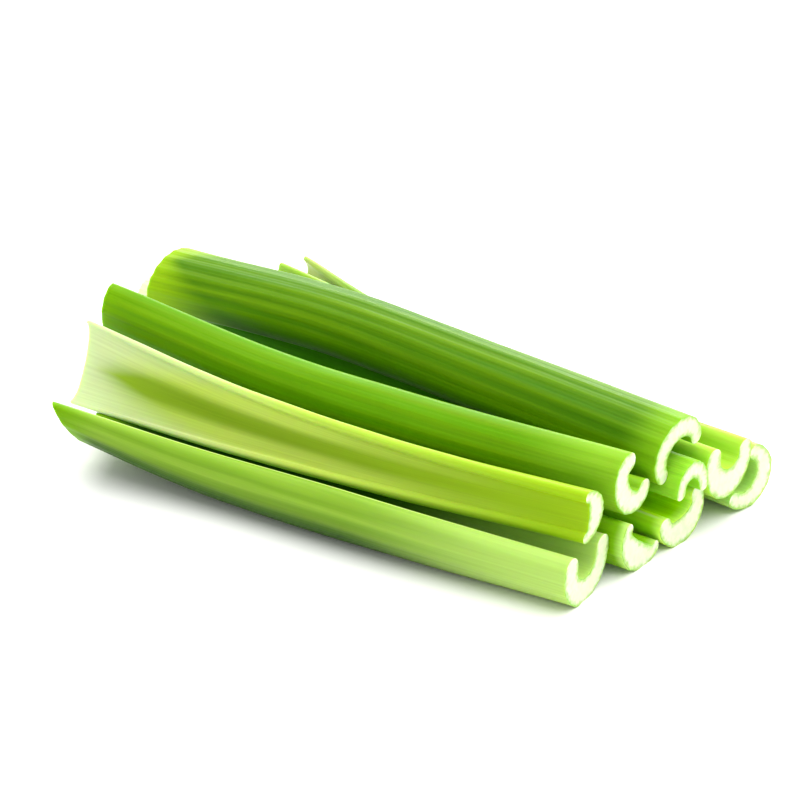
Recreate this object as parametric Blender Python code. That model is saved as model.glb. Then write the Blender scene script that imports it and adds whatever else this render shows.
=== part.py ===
"""Head of celery, trimmed and cut into nine loose stalks that lie in a pile.

Metres, +Z up, on the plane z = 0. +X runs along the stalks from their broad pale base ends
to their narrower upper ends. -Y is the front of the pile. The origin is on the resting
plane, under the middle of the pile's box.

Each stalk is one grown piece: a thick channel, ribbed outside and smooth inside, that
flares and bends up at its base. Its cross-section changes all the way along, so it is a
loft between unlike sections. The stalks only rest on each other.
"""

from math import cos, pi, radians, sin

import bpy
from mathutils import Vector

# Detail of every stalk
STATIONS = 14
OUTER_POINTS = 19
INNER_POINTS = 7
RIBS = 9
RIB_HEIGHT = 0.0005

# What the base of a stalk does to its section, as parts of the section further up
BASE_SWEEP_LOSS = 0.20
BASE_RIM_LOSS = 0.6

# The knife stood a little askew, so the far side of each upper end reaches further
CUT_START = 0.6
CUT_TURN = 0.07

# A stalk lies on the surface along a narrow flat, pressed into its lowest ribs
SURFACE = 0.0

CELERY_ROUGHNESS = 0.42
SHARP_ANGLE = 40

COLLECTION = "head_of_celery"


def srgb(code):
    """Linear colour of a hex code such as 6BA302."""
    parts = [int(code[i:i + 2], 16) / 255 for i in (0, 2, 4)]
    return [p / 12.92 if p <= 0.04045 else ((p + 0.055) / 1.055) ** 2.4 for p in parts]


def celery_material(name, code):
    material = bpy.data.materials.new(name)
    material.use_nodes = True
    shader = material.node_tree.nodes["Principled BSDF"]
    shader.inputs["Base Color"].default_value = (*srgb(code), 1)
    shader.inputs["Roughness"].default_value = CELERY_ROUGHNESS
    shader.inputs["Metallic"].default_value = 0
    material.diffuse_color = (*srgb(code), 1)
    return material


def along(keys, t):
    """Value at t, from 0 to 1, of the smooth curve through evenly spaced keys."""
    span = t * (len(keys) - 1)
    i = min(int(span), len(keys) - 2)
    f = span - i
    a, b = keys[i], keys[i + 1]
    before = keys[i - 1] if i > 0 else a * 2 - b
    after = keys[i + 2] if i + 2 < len(keys) else b * 2 - a
    return (a * 2 + (b - before) * f + (before * 2 - a * 5 + b * 4 - after) * f ** 2
            + (a * 3 - before - b * 3 + after) * f ** 3) * 0.5


def base_share(t, reach):
    """1 at the base of a stalk, falling smoothly to 0 at the given part of its length."""
    return max(0.0, 1 - t / reach) ** 2


def section(width, depth, left, right, wall, rim):
    """Outline (p, q) of a stalk. The channel opens to +q, and the keel is at q = -depth.

    The outer side is an elliptical arc from -left to +right degrees round from the keel,
    raised into ribs. Two rounded rims join it to the smooth inner side.
    """
    def on_arc(angle):
        point = Vector((width * sin(angle), -depth * cos(angle)))
        run = Vector((width * cos(angle), depth * sin(angle))).normalized()
        return point, run, Vector((run.y, -run.x))

    low, high = -radians(left), radians(right)
    outer = []
    for i in range(OUTER_POINTS):
        f = i / (OUTER_POINTS - 1)
        point, _, out = on_arc(low + (high - low) * f)
        lift = -0.5 * RIB_HEIGHT * cos(2 * pi * RIBS * f) * max(0.0, sin(pi * f)) ** 0.5
        outer.append(point + out * lift)

    left_end, left_run, left_out = on_arc(low)
    right_end, right_run, right_out = on_arc(high)
    right_rim = right_end - right_out * rim / 2 + right_run * rim / 2
    left_rim = left_end - left_out * rim / 2 - left_run * rim / 2

    floor = wall - depth
    inner = []
    for i in range(INNER_POINTS):
        u = 1 - 2 * i / (INNER_POINTS - 1)
        end = right_end - right_out * rim if u >= 0 else left_end - left_out * rim
        rise = 1 - cos(u * pi / 2)
        inner.append(Vector((abs(end.x) * sin(u * pi / 2), floor + (end.y - floor) * rise)))
    return outer + [right_rim] + inner + [left_rim]


def add_stalk(name, colour, path, opening, width, depth, left, right, wall, rim,
              flare, deepen=0.1, thin=0.45, reach=0.62, slant=0.0):
    """Loft a stalk along its path, from the base to the upper end.

    path is the middle of its section's ellipse, and opening the way that the channel faces,
    in degrees from +Y towards +Z seen along the stalk, both at evenly spaced places. width,
    depth, left, right, wall and rim are its section's. flare, deepen and thin say how much
    wider, deeper and thinner it is at its base, and reach how far up that is felt. slant is
    how far the keel is cut back at the base.
    """
    path = [Vector(p) for p in path]
    run = Vector((path[-1].x - path[0].x, path[-1].y - path[0].y, 0)).normalized()
    side = Vector((-run.y, run.x, 0))
    up = Vector((0, 0, 1))

    verts = []
    for k in range(STATIONS):
        t = k / (STATIONS - 1)
        share = base_share(t, reach)
        facing = radians(along(opening, t))
        q_axis = side * cos(facing) + up * sin(facing)
        p_axis = side * sin(facing) - up * cos(facing)
        outline = section(width * (1 + flare * share), depth * (1 + deepen * share),
                          left * (1 - BASE_SWEEP_LOSS * share), right * (1 - BASE_SWEEP_LOSS * share),
                          wall * (1 - thin * share), rim * (1 - BASE_RIM_LOSS * share))
        turn = CUT_TURN * max(0.0, (t - CUT_START) / (1 - CUT_START)) ** 2
        for point in outline:
            offset = p_axis * point.x + q_axis * point.y
            shift = turn * offset.dot(side) - slant * share * point.y / depth
            place = along(path, t) + offset + run * shift
            place.z = max(place.z, SURFACE)
            verts.append(place)

    ring = len(outline)
    faces = [tuple(range(ring))[::-1], tuple(range((STATIONS - 1) * ring, STATIONS * ring))]
    for k in range(STATIONS - 1):
        for j in range(ring):
            here, beside = k * ring + j, k * ring + (j + 1) % ring
            faces.append((here, beside, beside + ring, here + ring))

    mesh = bpy.data.meshes.new(name)
    mesh.from_pydata(verts, [], faces)
    mesh.validate()
    mesh.shade_smooth()
    mesh.set_sharp_from_angle(angle=radians(SHARP_ANGLE))
    mesh.materials.append(celery_material(name, colour))
    stalk = bpy.data.objects.new(name, mesh)
    bpy.data.collections[COLLECTION].objects.link(stalk)
    return stalk


def add_bottom_stalks():
    """Four stalks that lie on the surface."""
    return [
        # The long light one along the front, opening up, with its base bent up like a bow
        add_stalk("stalk_front", "97BA46", width=0.0168, depth=0.0163, left=98, right=99,
                  wall=0.0105, rim=0.0098, flare=0.10, deepen=-0.20, slant=0.009,
                  opening=[58, 73, 79, 86],
                  path=[(-0.0975, -0.0910, 0.0243), (-0.0300, -0.0775, 0.0167),
                        (0.0450, -0.0680, 0.0160), (0.1260, -0.0548, 0.0154)]),
        # A shallow one on its keel's corner, one wall up and one along the surface
        add_stalk("stalk_low_near", "8BC707", width=0.0150, depth=0.0130, left=90, right=82,
                  wall=0.0115, rim=0.0056, flare=0.02, deepen=0.0,
                  opening=[56, 55, 54, 54],
                  path=[(-0.1050, -0.0350, 0.0124), (-0.0300, -0.0314, 0.0122),
                        (0.0450, -0.0274, 0.0125), (0.1300, -0.0230, 0.0128)]),
        # One on its back under the nested stalk
        add_stalk("stalk_low_middle", "8BC707", width=0.0138, depth=0.0142, left=92, right=100,
                  wall=0.0125, rim=0.0072, flare=0.10, deepen=0.0,
                  opening=[98, 100, 104, 106],
                  path=[(-0.1100, 0.0100, 0.0142), (-0.0300, 0.0060, 0.0137),
                        (0.0450, 0.0034, 0.0136), (0.1325, 0.0009, 0.0137)]),
        # One on its side along the back, cupping its neighbour
        add_stalk("stalk_back_outer", "A8DB4A", width=0.0136, depth=0.0146, left=106, right=100,
                  wall=0.0101, rim=0.0062, flare=0.30, reach=0.35,
                  opening=[142, 150, 152, 152],
                  path=[(-0.1205, 0.0672, 0.0172), (-0.0280, 0.0480, 0.0148),
                        (0.0580, 0.0430, 0.0146), (0.1390, 0.0401, 0.0143)]),
    ]


def add_upper_stalks():
    """Five stalks that rest on those."""
    return [
        # A deep one on its back, held between the middle one and the back one
        add_stalk("stalk_back_inner", "9CDE0A", width=0.0134, depth=0.0162, left=106, right=100,
                  wall=0.0125, rim=0.0076, flare=0.08, deepen=0.05,
                  opening=[85, 85, 88, 88],
                  path=[(-0.1210, 0.0500, 0.0340), (-0.0220, 0.0337, 0.0276),
                        (0.0580, 0.0286, 0.0275), (0.1380, 0.0250, 0.0278)]),
        # The pale inner one from the heart, seen from inside, its base opened into thin wings
        add_stalk("stalk_pale", "D0E694", width=0.0106, depth=0.0121, left=79, right=81,
                  wall=0.0097, rim=0.0046, flare=0.84, deepen=-0.35, thin=0.60, reach=1.0,
                  slant=0.006, opening=[156, 164, 166, 176],
                  path=[(-0.1150, -0.0748, 0.0338), (-0.0340, -0.0709, 0.0305),
                        (0.0450, -0.0630, 0.0299), (0.1250, -0.0555, 0.0334)]),
        # One leaning with its ribbed back to the front
        add_stalk("stalk_leaning", "6BA302", width=0.0143, depth=0.0118, left=112, right=112,
                  wall=0.0095, rim=0.0080, flare=0.23, opening=[20, 28, 34, 36],
                  path=[(-0.1165, -0.0430, 0.0430), (-0.0340, -0.0382, 0.0352),
                        (0.0450, -0.0330, 0.0350), (0.1270, -0.0270, 0.0370)]),
        # A narrow one face down inside the top one
        add_stalk("stalk_nested", "7DB81C", width=0.0102, depth=0.0126, left=96, right=72,
                  wall=0.0070, rim=0.0058, flare=0.0, deepen=0.0, thin=0.35,
                  opening=[282, 281, 281, 281],
                  path=[(-0.1470, 0.0050, 0.0248), (-0.0350, 0.0029, 0.0258),
                        (0.0450, 0.0023, 0.0249), (0.1360, 0.0015, 0.0239)]),
        # The big dark green outer one across the top, face down
        add_stalk("stalk_top", "578E00", width=0.0150, depth=0.0132, left=104, right=106,
                  wall=0.0085, rim=0.0066, flare=0.18, thin=0.40, opening=[290, 291, 293, 294],
                  path=[(-0.1300, 0.0020, 0.0395), (-0.0380, 0.0020, 0.0454),
                        (0.0450, 0.0008, 0.0432), (0.1300, -0.0007, 0.0395)]),
    ]


def centre_pile(stalks):
    """Hang the stalks from an empty that brings the middle of their box over the origin."""
    points = [stalk.matrix_world @ vertex.co for stalk in stalks for vertex in stalk.data.vertices]
    middle = [(min(p[axis] for p in points) + max(p[axis] for p in points)) / 2 for axis in (0, 1)]
    pile = bpy.data.objects.new("pile", None)
    pile.location = (-middle[0], -middle[1], 0)
    bpy.data.collections[COLLECTION].objects.link(pile)
    for stalk in stalks:
        stalk.parent = pile


def build():
    for old in list(bpy.data.objects):
        bpy.data.objects.remove(old, do_unlink=True)
    bpy.context.scene.collection.children.link(bpy.data.collections.new(COLLECTION))
    centre_pile(add_bottom_stalks() + add_upper_stalks())


build()
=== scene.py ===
"""Head of celery, trimmed and cut into nine stalks that lie in a loose pile.

Metres, +Z up. +X runs along the stalks from their broad pale bases to their narrower upper
ends, and -Y is the front of the pile. Each stalk stands for the plain solid of the same
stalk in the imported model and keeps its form.
"""

from math import cos, pi, radians, sin

import bmesh
import bpy
import numpy as np
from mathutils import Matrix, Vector, noise


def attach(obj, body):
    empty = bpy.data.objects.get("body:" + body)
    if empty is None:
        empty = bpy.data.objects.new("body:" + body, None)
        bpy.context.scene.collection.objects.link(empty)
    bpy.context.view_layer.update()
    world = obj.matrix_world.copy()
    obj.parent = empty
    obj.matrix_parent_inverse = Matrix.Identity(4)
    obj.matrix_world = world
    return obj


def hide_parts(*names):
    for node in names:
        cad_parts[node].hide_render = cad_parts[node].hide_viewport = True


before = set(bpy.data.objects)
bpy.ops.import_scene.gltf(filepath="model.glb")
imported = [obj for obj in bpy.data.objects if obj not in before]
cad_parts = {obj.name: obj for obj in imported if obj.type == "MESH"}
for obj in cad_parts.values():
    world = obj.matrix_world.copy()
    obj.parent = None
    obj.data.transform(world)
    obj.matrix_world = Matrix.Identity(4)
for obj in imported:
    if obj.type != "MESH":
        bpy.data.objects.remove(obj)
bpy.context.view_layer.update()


# Camera
# The photograph looks down along the pile from its front right corner, through a long lens
# that keeps the stalks nearly parallel.
CAMERA_AZIMUTH = radians(37.8)
CAMERA_ELEVATION = radians(26.3)
CAMERA_DISTANCE = 0.85
CAMERA_TARGET = Vector((-0.00006, 0.01321, 0.0200))
LENS_MM = 92.6
SENSOR_MM = 36.0

back = Vector((sin(CAMERA_AZIMUTH) * cos(CAMERA_ELEVATION),
               -cos(CAMERA_AZIMUTH) * cos(CAMERA_ELEVATION),
               sin(CAMERA_ELEVATION)))
bpy.ops.object.camera_add(location=CAMERA_TARGET + back * CAMERA_DISTANCE,
                          rotation=(pi / 2 - CAMERA_ELEVATION, 0, CAMERA_AZIMUTH))
camera = bpy.context.object
camera.data.lens = LENS_MM
camera.data.sensor_width = SENSOR_MM
bpy.context.scene.camera = camera


# Front stalk
# A long light green stalk that lies along the front of the pile with its channel up. It
# was wrapped round the foot of the head, so its base bends up like a bow. Like all the
# others it is one grown channel, knife-cut at both ends, that only rests where it lies.

# Where the zero of the stalks' paths lies, from under the middle of the pile's box
PILE = np.array((0.00280, 0.01183, 0.0))

# Fineness of a stalk's mesh: loops along it, round its channel and through its wall
LOOPS_ALONG = (15, 9)
LOOPS_ROUND = (7, 11)
LOOPS_THROUGH = (11,)

# What every stalk shares with its solid
RIBS = 9
RIB_HEIGHT = 0.0005
BASE_SWEEP_LOSS = 0.20
BASE_RIM_LOSS = 0.6
CUT_START = 0.6
CUT_TURN = 0.07

# Finer relief of the grown skin and of the knife's cuts
RIB_UNEVENNESS = (0.15, 0.80)
RIB_SWAY = 0.012
FINE_RIBS = 31
FINE_RIB_HEIGHT = 0.00010
LUMP_HEIGHT = 0.00022
LUMP_LENGTH = 0.030
LUMP_WIDTH = 0.006
CUT_ROUGHNESS = 0.00028
CUT_GRAIN = 0.0022
CUT_EDGE = 0.0006
CUT_EDGE_SEGMENTS = 3
CUT_EDGE_ANGLE = radians(60)
RIB_FADE = 0.5
RIM_TAPER = 14
CHANNEL_BOTTOM_TAPER = 8

# Above this share of its way along or round, a point counts as on the edge
NEAR_ONE = 0.999

# Skin that would reach below the surface is pressed flat on it, to this share of its depth, so
# that its faces keep an area
PRESSED_SHARE = 0.02

# The whitish base reaches this share as far along the channel's bottom as along its wings
BASE_IN_CHANNEL = 0.17


def along(keys, t):
    """Values at each t, from 0 to 1, of the smooth curve through evenly spaced keys."""
    keys = np.asarray(keys, float)
    span = t * (len(keys) - 1)
    i = np.minimum(span.astype(int), len(keys) - 2)
    f = span - i
    if keys.ndim > 1:
        f = f[:, None]
    keys = np.concatenate([[keys[0] * 2 - keys[1]], keys, [keys[-1] * 2 - keys[-2]]])
    before, a, b, after = keys[i], keys[i + 1], keys[i + 2], keys[i + 3]
    return (a * 2 + (b - before) * f + (before * 2 - a * 5 + b * 4 - after) * f ** 2
            + (a * 3 - before - b * 3 + after) * f ** 3) * 0.5


def add_slab(name):
    """A thick slab of unit size round the origin, in even cells: x along, y round, z through."""
    bpy.ops.object.select_all(action="DESELECT")
    bpy.ops.mesh.primitive_cube_add(size=1)
    slab = bpy.context.object
    slab.name = slab.data.name = name
    bpy.ops.object.mode_set(mode="EDIT")
    bpy.ops.mesh.select_mode(type="EDGE")
    for axis, loops in enumerate((LOOPS_ALONG, LOOPS_ROUND, LOOPS_THROUGH)):
        for cuts in loops:
            bpy.ops.mesh.select_all(action="DESELECT")
            cells = bmesh.from_edit_mesh(slab.data)
            for edge in cells.edges:
                run = edge.verts[1].co - edge.verts[0].co
                lies_along_axis = abs(run[axis]) > run.length / 2
                edge.select_set(lies_along_axis)
            bmesh.update_edit_mesh(slab.data)
            bpy.ops.mesh.subdivide(number_cuts=cuts)
    bpy.ops.object.mode_set(mode="OBJECT")
    return slab


def rib_relief(f, t, seed):
    """Height of the ribbed skin, from -1 in the grooves towards 1 on the strongest ribs."""
    random = np.random.default_rng(seed)
    strength = random.uniform(*RIB_UNEVENNESS, RIBS)
    phase = random.uniform(0, 2 * pi)
    swayed = f + RIB_SWAY * np.sin(2 * pi * (t + 2 * f) + phase) * np.sin(pi * f)
    crest = 0.5 - 0.5 * np.cos(2 * pi * RIBS * swayed)
    which = np.clip((swayed * RIBS).astype(int), 0, RIBS - 1)
    return crest * strength[which] * 2 - 1


def celery_stalk(name, path, opening, width, depth, left, right, wall, rim, flare, seed,
                 deepen=0.1, thin=0.45, reach=0.62, slant=0.0):
    """A slab rolled up lengthwise into a ribbed channel that follows the stalk's path.

    The values are those of the stalk's solid: path is the middle of the section's ellipse
    and opening the way that the channel faces, in degrees, both at evenly spaced places from
    base to upper end. The channel's outer side is an elliptical arc from -left to +right
    degrees, of the given width and depth to each side of its middle. At the base they grow by
    the shares flare and deepen and the wall loses the share thin, as far up as reach, and the
    open side is cut ahead of the back by slant.
    """
    stalk = add_slab(name)
    mesh = stalk.data
    cells = np.empty(len(mesh.vertices) * 3)
    mesh.vertices.foreach_get("co", cells)
    cells = cells.reshape(-1, 3) + 0.5
    t, f, through = np.clip(cells, 0, 1).T

    share = np.maximum(0, 1 - t / reach) ** 2
    width = width * (1 + flare * share)
    depth = depth * (1 + deepen * share)
    low = radians(left) * (1 - BASE_SWEEP_LOSS * share)
    high = radians(right) * (1 - BASE_SWEEP_LOSS * share)
    wall = wall * (1 - thin * share)
    rim = rim * (1 - BASE_RIM_LOSS * share)
    path = np.asarray(path) + PILE
    length = np.linalg.norm(path[-1] - path[0])
    girth = (low + high) * (width + depth) / 2

    def on_arc(angle):
        point = np.stack([width * np.sin(angle), -depth * np.cos(angle)], 1)
        run = np.stack([width * np.cos(angle), depth * np.sin(angle)], 1)
        run /= np.linalg.norm(run, axis=1, keepdims=True)
        return point, run, np.stack([run[:, 1], -run[:, 0]], 1)

    # The skin, raised into ribs that fade towards the wall's edges
    outer, run, out = on_arc((low + high) * f - low)
    relief = rib_relief(f, t, seed)
    fade = np.sin(pi * f) ** RIB_FADE
    fine = np.cos(2 * pi * FINE_RIBS * f)
    lumps = np.array([noise.noise(Vector((seed + a, b, 0)))
                      for a, b in zip(t * length / LUMP_LENGTH, f * girth / LUMP_WIDTH)])
    lift = 0.5 * (RIB_HEIGHT * relief + FINE_RIB_HEIGHT * fine) * fade + LUMP_HEIGHT * lumps
    outer += out * lift[:, None]

    # The smooth inner side
    u = 2 * f - 1
    end, _, end_out = on_arc(np.where(u >= 0, high, -low))
    end -= end_out * rim[:, None]
    floor = wall - depth
    inner = np.stack([np.abs(end[:, 0]) * np.sin(u * pi / 2),
                      floor + (end[:, 1] - floor) * (1 - np.cos(u * pi / 2))], 1)
    inner -= out * LUMP_HEIGHT * lumps[:, None]

    # Through the wall, and round its half-round rims
    way = (1 - np.cos(pi * through)) / 2
    bulge = np.sign(u) * rim / 2 * np.sin(pi * through) * np.abs(u) ** RIM_TAPER
    point = outer + (inner - outer) * way[:, None] + run * bulge[:, None]

    # From the section into the pile
    course = (path[-1] - path[0]) * (1, 1, 0)
    course /= np.linalg.norm(course)
    side = np.array((-course[1], course[0], 0))
    up = np.array((0, 0, 1))
    facing = np.radians(along(opening, t))[:, None]
    q_axis = side * np.cos(facing) + up * np.sin(facing)
    p_axis = side * np.sin(facing) - up * np.cos(facing)
    offset = p_axis * point[:, :1] + q_axis * point[:, 1:]
    turn = CUT_TURN * np.maximum(0, (t - CUT_START) / (1 - CUT_START)) ** 2
    shift = turn * (offset @ side) - slant * share * point[:, 1] / depth
    at_end = (t < 1 - NEAR_ONE) | (t > NEAR_ONE)
    on_cut = at_end & (through > 0) & (through < 1) & (np.abs(u) < 1)
    grain = np.array([noise.noise(Vector(p) / CUT_GRAIN) if cut else 0
                      for p, cut in zip(offset, on_cut)])
    place = along(path, t) + offset + course * (shift + CUT_ROUGHNESS * grain)[:, None]
    place[:, 2] = np.maximum(place[:, 2], place[:, 2] * PRESSED_SHARE)
    mesh.vertices.foreach_set("co", place.ravel())

    # Where each point is on the stalk, for the materials, in metres or as a share
    thickness = np.linalg.norm(inner - outer, axis=1)
    to_edge = (1 - np.abs(u)) * girth / 2
    under = np.minimum(np.minimum(way, 1 - way) * thickness,
                       to_edge + rim / 2 * np.sin(pi * through))
    from_rim = to_edge + np.abs(way - 0.5) * rim
    from_base = t * length / (BASE_IN_CHANNEL + (1 - BASE_IN_CHANNEL) * np.abs(u))
    keel = np.cos(u * pi / 2)
    channel_bottom = way * keel ** CHANNEL_BOTTOM_TAPER
    for attribute, values in (("rib", relief), ("keel", keel), ("inside", way),
                              ("channel_bottom", channel_bottom), ("from_base", from_base),
                              ("from_cut", (1 - t) * length), ("from_rim", from_rim),
                              ("under", under)):
        layer = mesh.attributes.new(attribute, "FLOAT", "POINT")
        layer.data.foreach_set("value", values)
    corner = np.empty(len(mesh.loops), int)
    mesh.loops.foreach_get("vertex_index", corner)
    round_rim = way * rim * np.sign(u) * (np.abs(u) > NEAR_ONE)
    sheet = np.stack([t * length, f * girth + round_rim], 1)
    mesh.uv_layers[0].name = "skin"
    mesh.uv_layers[0].data.foreach_set("uv", sheet[corner].ravel())

    # The cut faces are the mesh's second material
    for face in mesh.polygons:
        ends = t[list(face.vertices)]
        face.material_index = int(ends.max() < 1 - NEAR_ONE or ends.min() > NEAR_ONE)

    bevel = stalk.modifiers.new("cut edge", "BEVEL")
    bevel.width = CUT_EDGE
    bevel.segments = CUT_EDGE_SEGMENTS
    bevel.limit_method = "ANGLE"
    bevel.angle_limit = CUT_EDGE_ANGLE
    bpy.ops.object.modifier_apply(modifier=bevel.name)
    bpy.ops.object.shade_smooth()
    return stalk


# Celery epidermis is a living skin under a thin wax cuticle. Light goes a few millimetres into
# it and comes out yellow-green, long strings run just under it, and the wax gives a soft gloss.
WAX_ROUGHNESS = 0.38
WAX_IOR = 1.45
WAX_GLOSS = 0.13
WAX_TINT = "E8FFC0"
SKIN_GLOW = 0.55
GLOW_REACH = 0.004
GLOW_COLOUR = (0.55, 1.0, 0.12)

# The strings are 0.3 mm apart and too fine for the picture, so they are drawn 0.9 mm apart
STRING_SPACING = 0.0009
STRING_LENGTH = 0.070
STRING_DEPTH = 0.00006
STRING_SHADE = (0.93, 1.07)
STRING_DETAIL = 2
STRING_RELIEF = 0.6

# Broad streaks, about as far apart as the ribs, lighten and darken the outer skin with them
STREAK_SPACING = 0.0045
STREAK_LENGTH = 0.160
STREAK_DETAIL = 2.5
STREAK_SHARE = 1.7
RIB_SHARE = 0.12
LIGHT_RANGE = (-0.6, 0.6)

# Where each zone of a stalk starts and where it is full, as shares, and the width of the rims'
# painted highlight line
KEEL_SHADE_ZONE = (0.2, 0.8)
CHANNEL_ZONE = (0.4, 0.8)
BOTTOM_ZONE = (0.1, 0.95)
RIM_HIGHLIGHT_WIDTH = 0.0011

# Most of what a noise gives lies in this range
NOISE_RANGE = (0.3, 0.7)


def linear(code):
    """Linear colour, with alpha, of an sRGB hex code."""
    parts = [int(code[i:i + 2], 16) / 255 for i in (0, 2, 4)]
    return [p / 12.92 if p <= 0.04045 else ((p + 0.055) / 1.055) ** 2.4 for p in parts] + [1]


def add_node(tree, kind, values=(), links=(), **settings):
    """One shader node with its settings, and its sockets' values and links given as pairs."""
    node = tree.nodes.new("ShaderNode" + kind)
    for setting, value in settings.items():
        setattr(node, setting, value)
    for socket, value in values:
        node.inputs[socket].default_value = value
    for socket, source in links:
        tree.links.new(source, node.inputs[socket])
    return node


# Sockets of a Mix node that is set to colours
FACTOR, FIRST, SECOND, MIXED = 0, 6, 7, 2


def celery_skin(name, rib, groove, channel, bottom, rim, base, base_reach, tip, tip_reach,
                painted_rim_reach=RIM_HIGHLIGHT_WIDTH, keel=None):
    """Skin of one stalk, in the colours of its ribs and grooves, its channel and the channel's
    bottom, its thin rims, its base and its upper tip, and of its keel where one is given. The
    rims' light line is painted highlight, and on the top stalk, spread wide, painted shade; the
    lighter tip on most stalks is painted glow near the cut; the keel's dark colour is painted
    shade."""
    material = bpy.data.materials.new(name)
    material.use_nodes = True
    tree = material.node_tree
    sheet = add_node(tree, "UVMap", uv_map="skin")
    string_run = add_node(tree, "Mapping", [("Scale", (1 / STRING_LENGTH, 1 / STRING_SPACING, 1))],
                          [("Vector", sheet.outputs["UV"])])
    strings = add_node(tree, "TexNoise", [("Scale", 1), ("Detail", STRING_DETAIL)],
                       [("Vector", string_run.outputs[0])])
    streak_run = add_node(tree, "Mapping", [("Scale", (1 / STREAK_LENGTH, 1 / STREAK_SPACING, 1))],
                          [("Vector", sheet.outputs["UV"])])
    streaks = add_node(tree, "TexNoise", [("Scale", 1), ("Detail", STREAK_DETAIL)],
                       [("Vector", streak_run.outputs[0])])

    # Ribs and streaks together lighten the outer skin
    ribs = add_node(tree, "Attribute", attribute_name="rib")
    streak_part = add_node(tree, "Math", [(1, STREAK_SHARE), (2, -STREAK_SHARE / 2)],
                           [(0, streaks.outputs["Fac"])], operation="MULTIPLY_ADD")
    light_part = add_node(tree, "Math", [(1, RIB_SHARE)],
                          [(0, ribs.outputs["Fac"]), (2, streak_part.outputs[0])],
                          operation="MULTIPLY_ADD")
    light_share = add_node(tree, "MapRange",
                           [("From Min", LIGHT_RANGE[0]), ("From Max", LIGHT_RANGE[1])],
                           [("Value", light_part.outputs[0])], interpolation_type="SMOOTHSTEP")
    colour = add_node(tree, "Mix", [(FIRST, linear(groove)), (SECOND, linear(rib))],
                      [(FACTOR, light_share.outputs["Result"])], data_type="RGBA")

    # Then each zone of the stalk takes its own colour: where it starts, and where it is full
    # The rim zone paints a highlight line along the rims, painted shade on the top stalk, and the
    # tip zone paints glow near the cut on most stalks
    zones = [("inside", CHANNEL_ZONE, channel), ("channel_bottom", BOTTOM_ZONE, bottom),
             ("from_rim", (painted_rim_reach, 0), rim), ("from_base", (base_reach, 0), base),
             ("from_cut", (tip_reach, 0), tip)]
    # A keel colour is painted shade: a dark band along the underside where the stalk rests on the
    # floor
    if keel:
        zones.insert(0, ("keel", KEEL_SHADE_ZONE, keel))
    for zone, (start, full), zone_colour in zones:
        where = add_node(tree, "Attribute", attribute_name=zone)
        share = add_node(tree, "MapRange", [("From Min", start), ("From Max", full)],
                         [("Value", where.outputs["Fac"])], interpolation_type="SMOOTHSTEP")
        colour = add_node(tree, "Mix", [(SECOND, linear(zone_colour))],
                          [(FACTOR, share.outputs["Result"]), (FIRST, colour.outputs[MIXED])],
                          data_type="RGBA")

    # Last the strings, which shade the colour and lift the skin
    grain = add_node(tree, "MapRange", [("From Min", NOISE_RANGE[0]), ("From Max", NOISE_RANGE[1]),
                                        ("To Min", STRING_SHADE[0]), ("To Max", STRING_SHADE[1])],
                     [("Value", strings.outputs["Fac"])])
    colour = add_node(tree, "Mix", [(FACTOR, 1)],
                      [(FIRST, colour.outputs[MIXED]), (SECOND, grain.outputs[0])],
                      data_type="RGBA", blend_type="MULTIPLY")
    bump = add_node(tree, "Bump", [("Strength", STRING_RELIEF), ("Distance", STRING_DEPTH)],
                    [("Height", strings.outputs["Fac"])])

    shader = tree.nodes["Principled BSDF"]
    shader.inputs["Roughness"].default_value = WAX_ROUGHNESS
    shader.inputs["IOR"].default_value = WAX_IOR
    shader.inputs["Specular IOR Level"].default_value = WAX_GLOSS
    shader.inputs["Specular Tint"].default_value = linear(WAX_TINT)
    shader.inputs["Subsurface Weight"].default_value = SKIN_GLOW
    shader.inputs["Subsurface Radius"].default_value = GLOW_COLOUR
    shader.inputs["Subsurface Scale"].default_value = GLOW_REACH
    tree.links.new(colour.outputs[MIXED], shader.inputs["Base Color"])
    tree.links.new(bump.outputs["Normal"], shader.inputs["Normal"])
    return material


# Cut flesh is wet parenchyma: cells about 0.3 mm wide, full of clear sap, nearly white in the
# middle of the wall and greener towards the skin, where faint clouds break up the green. The
# cells are too fine for the picture, so they are drawn 0.4 mm wide.
FLESH = "DCE8C0"
FLESH_UNDER_SKIN = "A4CC60"
FLESH_AT_SKIN = "78B028"
GREEN_DEPTH = (0.0002, 0.0026)
SKIN_DEPTH = (0.0007, 0.0001)
FLESH_ROUGHNESS = 0.30
FLESH_GLOW = 0.7
CELL_SIZE = 0.0004
CELL_DEPTH = 0.00008
CELL_RELIEF = 0.5
CLOUD_SIZE = 0.0022
CLOUD_DETAIL = 3
CLOUD_DEPTH = 0.0036
CLOUD_SHADE = (0.90, 1.06)

flesh = bpy.data.materials.new("cut_celery_flesh")
flesh.use_nodes = True
tree = flesh.node_tree
place = add_node(tree, "TexCoord")
under = add_node(tree, "Attribute", attribute_name="under")
clouds = add_node(tree, "TexNoise", [("Scale", 1 / CLOUD_SIZE), ("Detail", CLOUD_DETAIL)],
                  [("Vector", place.outputs["Object"])])
clouded = add_node(tree, "Math", [(1, CLOUD_DEPTH)],
                   [(0, clouds.outputs["Fac"]), (2, under.outputs["Fac"])],
                   operation="MULTIPLY_ADD")
deep = add_node(tree, "MapRange", [("From Min", GREEN_DEPTH[0] + CLOUD_DEPTH / 2),
                                   ("From Max", GREEN_DEPTH[1] + CLOUD_DEPTH / 2)],
                [("Value", clouded.outputs[0])], interpolation_type="SMOOTHSTEP")
at_skin = add_node(tree, "MapRange", [("From Min", SKIN_DEPTH[0]), ("From Max", SKIN_DEPTH[1])],
                   [("Value", under.outputs["Fac"])], interpolation_type="SMOOTHSTEP")
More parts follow.
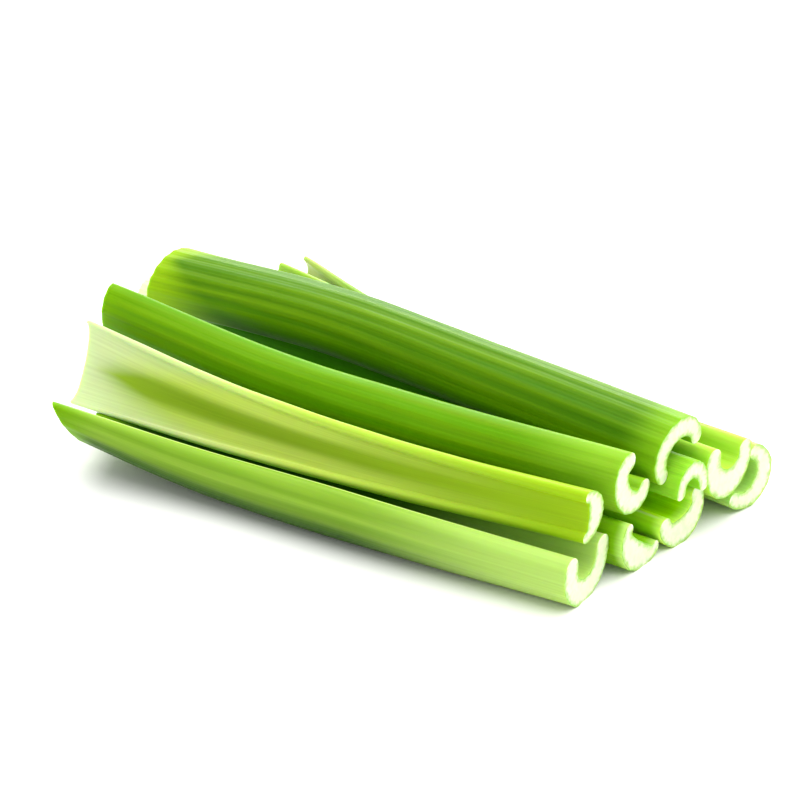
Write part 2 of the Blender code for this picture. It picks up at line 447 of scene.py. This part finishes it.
colour = add_node(tree, "Mix", [(FIRST, linear(FLESH_UNDER_SKIN)), (SECOND, linear(FLESH))],
                  [(FACTOR, deep.outputs["Result"])], data_type="RGBA")
colour = add_node(tree, "Mix", [(SECOND, linear(FLESH_AT_SKIN))],
                  [(FACTOR, at_skin.outputs["Result"]), (FIRST, colour.outputs[MIXED])],
                  data_type="RGBA")
wet = add_node(tree, "MapRange", [("From Min", NOISE_RANGE[0]), ("From Max", NOISE_RANGE[1]),
                                  ("To Min", CLOUD_SHADE[0]), ("To Max", CLOUD_SHADE[1])],
               [("Value", clouds.outputs["Fac"])])
colour = add_node(tree, "Mix", [(FACTOR, 1)],
                  [(FIRST, colour.outputs[MIXED]), (SECOND, wet.outputs[0])],
                  data_type="RGBA", blend_type="MULTIPLY")
cells = add_node(tree, "TexVoronoi", [("Scale", 1 / CELL_SIZE)],
                 [("Vector", place.outputs["Object"])])
bump = add_node(tree, "Bump", [("Strength", CELL_RELIEF), ("Distance", CELL_DEPTH)],
                [("Height", cells.outputs["Distance"])])
shader = tree.nodes["Principled BSDF"]
shader.inputs["Roughness"].default_value = FLESH_ROUGHNESS
shader.inputs["IOR"].default_value = WAX_IOR
shader.inputs["Subsurface Weight"].default_value = FLESH_GLOW
shader.inputs["Subsurface Radius"].default_value = GLOW_COLOUR
shader.inputs["Subsurface Scale"].default_value = GLOW_REACH
tree.links.new(colour.outputs[MIXED], shader.inputs["Base Color"])
tree.links.new(bump.outputs["Normal"], shader.inputs["Normal"])

front_stalk = celery_stalk(
    "front_stalk", width=0.0168, depth=0.0163, left=98, right=99, wall=0.0105, rim=0.0098,
    flare=0.10, deepen=-0.20, slant=0.009, opening=[58, 73, 79, 86], seed=1,
    path=[(-0.0975, -0.0910, 0.0243), (-0.0300, -0.0775, 0.0167),
          (0.0450, -0.0680, 0.0160), (0.1260, -0.0548, 0.0154)])
# Its dark channel colour is painted shade inside the channel, its dark keel colour painted shade
# along its underside on the floor, its light rim colour painted highlight, and its lighter upper
# end painted glow near the cut.
front_stalk.data.materials.append(celery_skin(
    "front_stalk_skin", rib="96B83F", groove="6C961F", channel="305E04", bottom="78B008",
    rim="C4E07C", base="6A9B01", base_reach=0.030, tip="AACB65", tip_reach=0.090, keel="34580C"))
front_stalk.data.materials.append(flesh)
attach(front_stalk, "root")
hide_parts("stalk_front")


# Low near stalk
# A shallow mid green stalk on the surface behind the front one. It lies on a corner of its
# keel, so one wall stands up and the other lies along the surface.
low_near_stalk = celery_stalk(
    "low_near_stalk", width=0.0150, depth=0.0130, left=90, right=82, wall=0.0115, rim=0.0056,
    flare=0.02, deepen=0, opening=[56, 55, 54, 54], seed=2,
    path=[(-0.1050, -0.0350, 0.0124), (-0.0300, -0.0314, 0.0122),
          (0.0450, -0.0274, 0.0125), (0.1300, -0.0230, 0.0128)])
low_near_stalk.data.materials.append(celery_skin(
    "low_near_stalk_skin", rib="84BC14", groove="74AC08", channel="98D41C", bottom="8CCC10",
    rim="B8DC70", base="C4DC78", base_reach=0.05, tip="B8DC70", tip_reach=0.004))
low_near_stalk.data.materials.append(flesh)
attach(low_near_stalk, "root")
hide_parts("stalk_low_near")


# Low middle stalk
# A green stalk on its back on the surface, with the nested and the top stalk above it. It
# shows at its cut end, where its channel's bright colour is painted light that comes through
# its wall, and its light rim and tip colours are painted highlight and glow.
low_middle_stalk = celery_stalk(
    "low_middle_stalk", width=0.0138, depth=0.0142, left=92, right=100, wall=0.0125, rim=0.0072,
    flare=0.10, deepen=0, opening=[98, 100, 104, 106], seed=3,
    path=[(-0.1100, 0.0100, 0.0142), (-0.0300, 0.0060, 0.0137),
          (0.0450, 0.0034, 0.0136), (0.1325, 0.0009, 0.0137)])
low_middle_stalk.data.materials.append(celery_skin(
    "low_middle_stalk_skin", rib="A0D81C", groove="90CC10", channel="BCF80C", bottom="A4E400",
    rim="B8DC70", base="C4DC78", base_reach=0.05, tip="C8F060", tip_reach=0.005))
low_middle_stalk.data.materials.append(flesh)
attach(low_middle_stalk, "root")
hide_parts("stalk_low_middle")


# Back outer stalk
# A light green stalk on its side along the back of the pile, cupping its neighbour. Its base
# splays out from the pile and ends paler.
back_outer_stalk = celery_stalk(
    "back_outer_stalk", width=0.0136, depth=0.0146, left=106, right=100, wall=0.0101, rim=0.0062,
    flare=0.30, reach=0.35, opening=[142, 150, 152, 152], seed=4,
    path=[(-0.1205, 0.0672, 0.0172), (-0.0280, 0.0480, 0.0148),
          (0.0580, 0.0430, 0.0146), (0.1390, 0.0401, 0.0143)])
# Its light rim colour is painted highlight, and its lighter upper end is painted glow near the
# cut.
back_outer_stalk.data.materials.append(celery_skin(
    "back_outer_stalk_skin", rib="84AC38", groove="709C20", channel="84AC24", bottom="78A018",
    rim="A4C460", base="A8BC5C", base_reach=0.05, tip="A8D468", tip_reach=0.030))
back_outer_stalk.data.materials.append(flesh)
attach(back_outer_stalk, "root")
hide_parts("stalk_back_outer")


# Back inner stalk
# A deep bright green stalk on its back, held between the low middle one and the back one. Its
# channel shows past the cut end of the top stalk.
back_inner_stalk = celery_stalk(
    "back_inner_stalk", width=0.0134, depth=0.0162, left=106, right=100, wall=0.0125, rim=0.0076,
    flare=0.08, deepen=0.05, opening=[85, 85, 88, 88], seed=5,
    path=[(-0.1210, 0.0500, 0.0340), (-0.0220, 0.0337, 0.0276),
          (0.0580, 0.0286, 0.0275), (0.1380, 0.0250, 0.0278)])
# Its light rim colour is painted highlight, and its lighter upper end is painted glow near the
# cut.
back_inner_stalk.data.materials.append(celery_skin(
    "back_inner_stalk_skin", rib="7CB01C", groove="689E10", channel="8CB028", bottom="80A814",
    rim="A4C460", base="98BC48", base_reach=0.03, tip="A8D440", tip_reach=0.040))
back_inner_stalk.data.materials.append(flesh)
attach(back_inner_stalk, "root")
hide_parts("stalk_back_inner")


# Pale stalk
# An inner stalk from near the heart, which grew in the dark and stayed pale. It is seen from
# inside its channel, and its base is opened into thin whitish wings that let light through.
pale_stalk = celery_stalk(
    "pale_stalk", width=0.0106, depth=0.0121, left=79, right=81, wall=0.0097, rim=0.0046,
    flare=0.84, deepen=-0.35, thin=0.60, reach=1.0, slant=0.006, seed=6,
    opening=[156, 164, 166, 176],
    path=[(-0.1150, -0.0748, 0.0338), (-0.0340, -0.0709, 0.0305),
          (0.0450, -0.0630, 0.0299), (0.1250, -0.0555, 0.0334)])
pale_stalk.data.materials.append(celery_skin(
    "pale_stalk_skin", rib="C0DC60", groove="B0D04C", channel="C8DE60", bottom="8AAA20",
    rim="B4D050", base="C8D6A0", base_reach=0.130, tip="98BC18", tip_reach=0.160))
pale_stalk.data.materials.append(flesh)
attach(pale_stalk, "root")
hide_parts("stalk_pale")


# Leaning stalk
# A mid green stalk that leans on the pile with its ribbed back to the front, so that its
# upper edge is light and its keel is in its own shade.
leaning_stalk = celery_stalk(
    "leaning_stalk", width=0.0143, depth=0.0118, left=112, right=112, wall=0.0095, rim=0.0080,
    flare=0.23, opening=[20, 28, 34, 36], seed=7,
    path=[(-0.1165, -0.0430, 0.0430), (-0.0340, -0.0382, 0.0352),
          (0.0450, -0.0330, 0.0350), (0.1270, -0.0270, 0.0370)])
# Its light rim colour is painted highlight along its upper edge, and its lighter upper end is
# painted glow near the cut.
leaning_stalk.data.materials.append(celery_skin(
    "leaning_stalk_skin", rib="709804", groove="5C9802", channel="88BC20", bottom="78AC10",
    rim="A8D040", base="6DA001", base_reach=0.016, tip="84B424", tip_reach=0.050))
leaning_stalk.data.materials.append(flesh)
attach(leaning_stalk, "root")
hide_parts("stalk_leaning")


# Nested stalk
# A narrow stalk from further in, lying face down inside the top one. Its dark skin colour is
# painted shade from the top one, its lighter colour at its cut end is painted glow, and it is
# whitish where its base shows past the top one's.
nested_stalk = celery_stalk(
    "nested_stalk", width=0.0102, depth=0.0126, left=96, right=72, wall=0.0070, rim=0.0058,
    flare=0, deepen=0, thin=0.35, opening=[282, 281, 281, 281], seed=8,
    path=[(-0.1470, 0.0050, 0.0248), (-0.0350, 0.0029, 0.0258),
          (0.0450, 0.0023, 0.0249), (0.1360, 0.0015, 0.0239)])
nested_stalk.data.materials.append(celery_skin(
    "nested_stalk_skin", rib="488808", groove="387804", channel="7CB41C", bottom="6CA810",
    rim="78B030", base="E4ECC0", base_reach=0.05, tip="90CC30", tip_reach=0.040))
nested_stalk.data.materials.append(flesh)
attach(nested_stalk, "root")
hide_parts("stalk_nested")


# Top stalk
# The biggest outer stalk of the head, dark green and strongly ribbed, lying face down across
# the top of the pile.
top_stalk = celery_stalk(
    "top_stalk", width=0.0150, depth=0.0132, left=104, right=106, wall=0.0085, rim=0.0066,
    flare=0.18, thin=0.40, opening=[290, 291, 293, 294], seed=9,
    path=[(-0.1300, 0.0020, 0.0395), (-0.0380, 0.0020, 0.0454),
          (0.0450, 0.0008, 0.0432), (0.1300, -0.0007, 0.0395)])
# Its dark rim colour, spread 13 mm in from its rims, is painted shade on its lower flank over the
# leaning stalk.
top_stalk.data.materials.append(celery_skin(
    "top_stalk_skin", rib="668E00", groove="407400", channel="7CB420", bottom="70A818",
    rim="1A4400", base="8CB40C", base_reach=0.055, tip="78AC14", tip_reach=0.020, painted_rim_reach=0.013))
top_stalk.data.materials.append(flesh)
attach(top_stalk, "root")
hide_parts("stalk_top")


# Floor and light
# A plain white floor under plain soft studio light: an even room, one very wide soft light
# above, and a small low one behind that draws a wet gleam along the stalks' upper edges.
FLOOR_SIZE = 8.0
FLOOR_COLOUR = "F6F6F4"
FLOOR_ROUGHNESS = 0.9
FLOOR_GLOSS = 0.1
ROOM_LIGHT = 0.75
TOP_LIGHT_FROM = Vector((0.10, 0.30, 0.95))
TOP_LIGHT_STRENGTH = 4.1
TOP_LIGHT_SPREAD = radians(100)
BACK_LIGHT_PLACE = Vector((-0.45, 0.75, 0.40))
BACK_LIGHT_SIZE = (0.70, 0.15)
BACK_LIGHT_WATTS = 3.5

bpy.ops.mesh.primitive_plane_add(size=FLOOR_SIZE)
floor = bpy.context.object
floor.name = "floor"
paper = bpy.data.materials.new("matte_white_paper")
paper.use_nodes = True
paper_shader = paper.node_tree.nodes["Principled BSDF"]
paper_shader.inputs["Base Color"].default_value = linear(FLOOR_COLOUR)
paper_shader.inputs["Roughness"].default_value = FLOOR_ROUGHNESS
paper_shader.inputs["Specular IOR Level"].default_value = FLOOR_GLOSS
floor.data.materials.append(paper)

room = bpy.data.worlds.new("white_room")
room.use_nodes = True
room.node_tree.nodes["Background"].inputs["Color"].default_value = (1, 1, 1, 1)
room.node_tree.nodes["Background"].inputs["Strength"].default_value = ROOM_LIGHT
bpy.context.scene.world = room

bpy.ops.object.light_add(type="SUN", location=TOP_LIGHT_FROM,
                         rotation=TOP_LIGHT_FROM.to_track_quat("Z", "Y").to_euler())
top_light = bpy.context.object
top_light.data.energy = TOP_LIGHT_STRENGTH
top_light.data.angle = TOP_LIGHT_SPREAD
back_light_aim = (BACK_LIGHT_PLACE - CAMERA_TARGET).to_track_quat("Z", "Y")
bpy.ops.object.light_add(type="AREA", location=BACK_LIGHT_PLACE,
                         rotation=back_light_aim.to_euler())
back_light = bpy.context.object
back_light.data.shape = "RECTANGLE"
back_light.data.size, back_light.data.size_y = BACK_LIGHT_SIZE
back_light.data.energy = BACK_LIGHT_WATTS
bpy.context.scene.view_settings.view_transform = "Standard"
